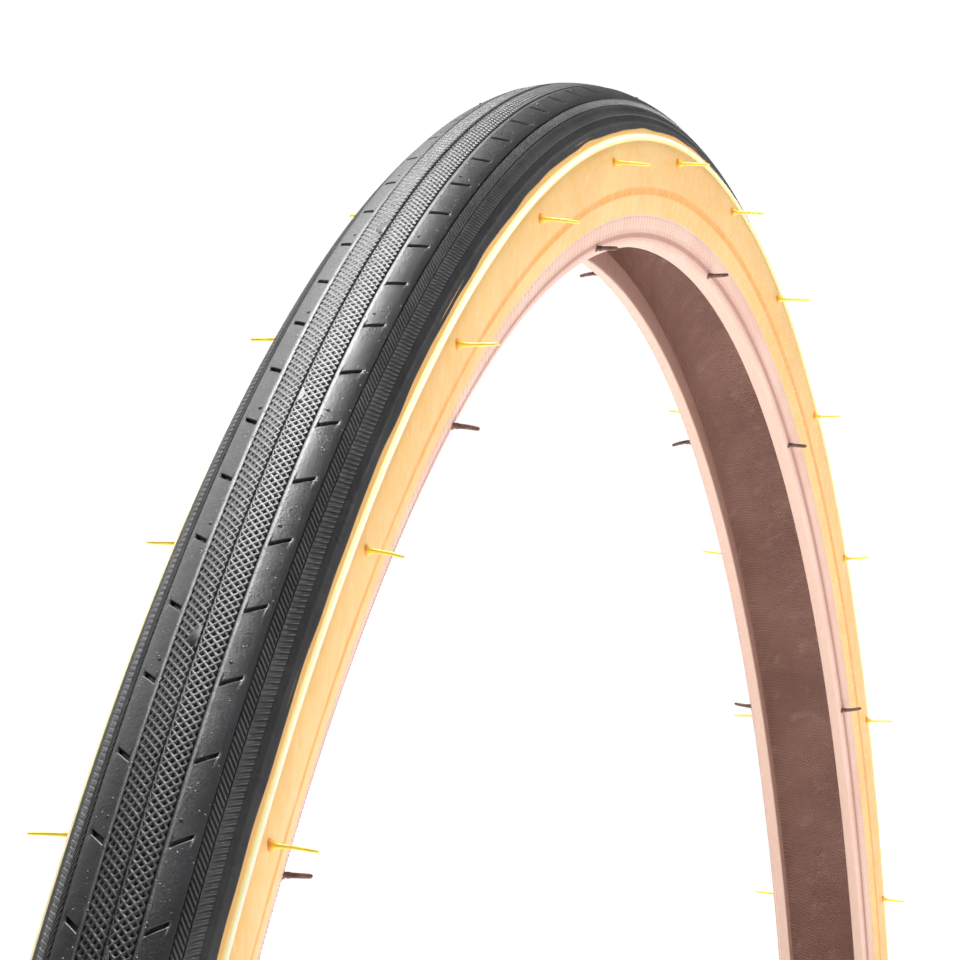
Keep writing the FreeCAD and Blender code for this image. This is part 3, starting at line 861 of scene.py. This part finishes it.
def loose_mesh(name, points, quads, caps, material, slot, node, tips=None):
    """A mesh piece of many small closed shapes."""
    points = np.concatenate(points) * MM
    faces = np.concatenate(quads).tolist() + [cap.tolist() for cap in caps]
    mesh = bpy.data.meshes.new(name)
    mesh.from_pydata(points.tolist(), [], faces)
    mesh.validate()
    sizes = np.array([len(face) for face in faces])
    if signed_volume(points, np.concatenate([np.array(face) for face in faces]), sizes) < 0:
        mesh.flip_normals()
    mesh.shade_smooth()
    mesh.set_sharp_from_angle(angle=math.radians(60))
    if tips is not None:
        mesh.attributes.new("tip", "FLOAT", "POINT").data.foreach_set("value", np.concatenate(tips))
    mesh.materials.append(material)
    piece = bpy.data.objects.new(name, mesh)
    bpy.context.scene.collection.objects.link(piece)
    finish_piece(piece, slot, node)


def sidewall_spews(side_name):
    place = skin(SIDEWALL_SPEW_PLACE, 0.0)
    hair_group("sidewall_spews", side_name, place, SPEW, "gum_rubber", **SIDEWALL_SPEWS)


def bead_spews(side_name):
    place = leg_y(BEAD_SPEW_RADIUS), BEAD_SPEW_RADIUS
    hair_group("bead_spews", side_name, place, DARK, "dark_rubber", **BEAD_SPEWS)


def tread_nubs(side_name):
    """Trimmed vent stubs: small uneven domes on the smooth band."""
    side = SIDES[side_name]
    points, quads, caps = [], [], []
    turns = np.linspace(0, TURN, 10, endpoint=False)
    for number in range(NUB_COUNT):
        centre = math.radians(NUB_LAG + number * 360.0 / NUB_COUNT)
        wide = NUB_RADIUS * random.uniform(0.85, 1.2)
        tall = NUB_HEIGHT * random.uniform(0.7, 1.2)
        levels = ((1.25, -0.05), (1.1, 0.05), (0.95, tall * 0.7), (0.55, tall))
        first = len(points) * len(turns)
        for share, level in levels:
            across = NUB_PLACE + share * wide * np.cos(turns)
            y, radius = skin(across, SMOOTH_LIFT + level)
            angle = centre + share * wide * np.sin(turns) / TIRE_RADIUS
            points.append(np.stack([radius * np.sin(angle), side * y, radius * np.cos(angle)], -1))
        index = first + np.arange(len(levels) * len(turns)).reshape(len(levels), len(turns))
        quads.append(walls(index))
        caps += [index[0][::-1], index[-1]]
    node = f"tread_nubs_{side_name}"
    loose_mesh(f"vent_domes_{side_name}", points, quads, caps, RUBBER, "tread_rubber", node)


def vent_pads(side_name):
    """Smooth half-lens patches beside the centre groove, where the mould was vented."""
    side = SIDES[side_name]
    share = np.linspace(-1, 1, 15)
    outline_along = np.concatenate([share, share[-2:0:-1] * 0.98])
    outline_across = np.concatenate([1 - share ** 2, np.zeros(len(share) - 2)])
    points, quads, caps = [], [], []
    size = len(outline_along)
    for number in range(0 if side > 0 else 1, VENT_PADS, 2):
        centre = math.radians(PAD_LAG + number * 360.0 / VENT_PADS)
        levels = ((1.0, UNDERSIDE), (1.0, -0.05), (0.94, 0.03))
        first = len(points) * size
        for scale, level in levels:
            across = CENTRE_GAP + 0.04 + outline_across * scale * PAD_WIDTH[side_name]
            y, radius = skin(across, level)
            angle = centre + outline_along * scale * PAD_HALF_LENGTH / TIRE_RADIUS
            points.append(np.stack([radius * np.sin(angle), side * y, radius * np.cos(angle)], -1))
        index = first + np.arange(len(levels) * size).reshape(len(levels), size)
        quads.append(walls(index))
        caps += [index[0][::-1], index[-1]]
    loose_mesh(f"vent_pads_{side_name}", points, quads, caps, RUBBER, "tread_rubber", "tread_cap")


# ---------------------------------------------------------------- hidden CAD pieces
def paint_hidden():
    """Carried-over CAD pieces inside the tire get their own materials."""
    breaker = plain_rubber("breaker_cloth", colour(0.30, 0.26, 0.20), colour(0.42, 0.37, 0.29), 0.7)
    filler = plain_rubber("filler_rubber", colour(0.02, 0.02, 0.02), colour(0.045, 0.043, 0.042), 0.6)
    hidden = plain_rubber("hidden_ply", colour(0.17, 0.09, 0.05), colour(0.27, 0.15, 0.09), 0.7)
    steel = bead_steel()
    finishes = {"breaker_strip": breaker, "casing_ply_outer": hidden}
    for side_name in SIDES:
        finishes[f"bead_filler_{side_name}"] = filler
        finishes[f"bead_wire_{side_name}"] = steel
    for node, material in finishes.items():
        for material_slot in frame["nodes"][node].material_slots:
            material_slot.material = material


# ---------------------------------------------------------------- stage, lights and camera
FLOOR_SIZE = 60
FLOOR_GLOW = 1.05
SURROUND_LOW, SURROUND_HIGH = 0.8, 0.25   # strength of the surround near level and overhead
FADE_START, FADE_END = 0.15, 0.55         # between these heights of the view
PALE_SKY = 22.0               # what the camera sees past the floor's far edge

# Each light's place, the point that it faces, its size and its power
LIGHTS = {
    "overhead": ((0.44, 0.2, 1.37), (-0.1, 0.0, 0.3), (0.6, 1.0), 26.0),
    "strip": ((0.54, -0.06, 1.42), (-0.1, 0.0, 0.3), (0.06, 0.5), 7.0),
    "behind": ((0.95, 0.83, 0.98), (-0.1, 0.0, 0.3), (1.0, 1.0), 6.0),
    "side": ((-0.4, -1.6, 0.7), (-0.1, 0.0, 0.25), (1.2, 1.2), 11.0),
}

CAMERA_AZIMUTH = math.radians(-76.93)
CAMERA_ELEVATION = math.radians(8.46)
CAMERA_DISTANCE = 0.6836
CAMERA_TARGET = Vector((-0.0375, 0.0, 0.2827))
CAMERA_LENS = 180.5           # on a 36 mm wide sensor


def stage():
    """A pale floor under the tire, a surround that darkens overhead, and a pale sky behind them."""
    material = bpy.data.materials.new("stage_white")
    material.use_nodes = True
    shader = material.node_tree.nodes["Principled BSDF"]
    shader.inputs["Base Color"].default_value = colour(0.93, 0.93, 0.93)
    shader.inputs["Roughness"].default_value = 0.9
    shader.inputs["Emission Color"].default_value = colour(1.0, 1.0, 1.0)
    shader.inputs["Emission Strength"].default_value = FLOOR_GLOW
    bpy.ops.mesh.primitive_plane_add(size=FLOOR_SIZE, location=(0, 0, cad_box[0][2] - MM))
    floor = bpy.context.object
    floor.name = "stage_floor"
    floor.data.materials.append(material)
    world = bpy.data.worlds.new("surround")
    world.use_nodes = True
    tree = world.node_tree
    direction = tree.nodes.new("ShaderNodeTexCoord")
    split = tree.nodes.new("ShaderNodeSeparateXYZ")
    fade = tree.nodes.new("ShaderNodeMapRange")
    fade.inputs["From Min"].default_value = FADE_START
    fade.inputs["From Max"].default_value = FADE_END
    fade.inputs["To Min"].default_value = SURROUND_LOW
    fade.inputs["To Max"].default_value = SURROUND_HIGH
    tree.links.new(direction.outputs["Generated"], split.inputs[0])
    tree.links.new(split.outputs["Z"], fade.inputs["Value"])
    path = tree.nodes.new("ShaderNodeLightPath")
    strength = tree.nodes.new("ShaderNodeMath")
    strength.operation = "MULTIPLY_ADD"
    strength.inputs[1].default_value = PALE_SKY
    tree.links.new(path.outputs["Is Camera Ray"], strength.inputs[0])
    tree.links.new(fade.outputs["Result"], strength.inputs[2])
    tree.links.new(strength.outputs["Value"], tree.nodes["Background"].inputs["Strength"])
    bpy.context.scene.world = world


def area_light(name, place, target, size, power):
    light = bpy.data.lights.new(name, "AREA")
    light.shape = "RECTANGLE"
    light.size, light.size_y = size
    light.energy = power
    lamp = bpy.data.objects.new(name, light)
    lamp.location = place
    lamp.rotation_euler = (Vector(target) - Vector(place)).to_track_quat("-Z", "Y").to_euler()
    bpy.context.scene.collection.objects.link(lamp)


def camera():
    back = Vector((
        math.sin(CAMERA_AZIMUTH) * math.cos(CAMERA_ELEVATION),
        -math.cos(CAMERA_AZIMUTH) * math.cos(CAMERA_ELEVATION),
        math.sin(CAMERA_ELEVATION),
    ))
    data = bpy.data.cameras.new("camera")
    data.lens = CAMERA_LENS
    data.sensor_width = 36.0
    data.clip_start = 0.01
    view = bpy.data.objects.new("camera", data)
    view.location = CAMERA_TARGET + back * CAMERA_DISTANCE
    view.rotation_euler = back.to_track_quat("Z", "Y").to_euler()
    bpy.context.scene.collection.objects.link(view)
    bpy.context.scene.camera = view


camera()
stage()
for name, settings in LIGHTS.items():
    area_light(name, *settings)
bpy.context.scene.view_settings.view_transform = "Standard"

tread_base()
casing_inside()
for side_name in SIDES:
    file_band(side_name)
    smooth_band(side_name)
    hatch_band("hatch_band", side_name, HATCH_START, HATCH_EDGE, -1.3, HATCH_HEIGHT, 0.1, HATCH)
    hatch_band("rib_band", side_name, HATCH_EDGE + 0.06, RIB_EDGE, 0.9, RIB_BAND_HEIGHT, 0.7, FINE_RIBS)
    edge_band(side_name)
    sidewall(side_name)
    chafer(side_name)
    chafer_weave(side_name)
    sidewall_spews(side_name)
    bead_spews(side_name)
    tread_nubs(side_name)
    vent_pads(side_name)
paint_hidden()
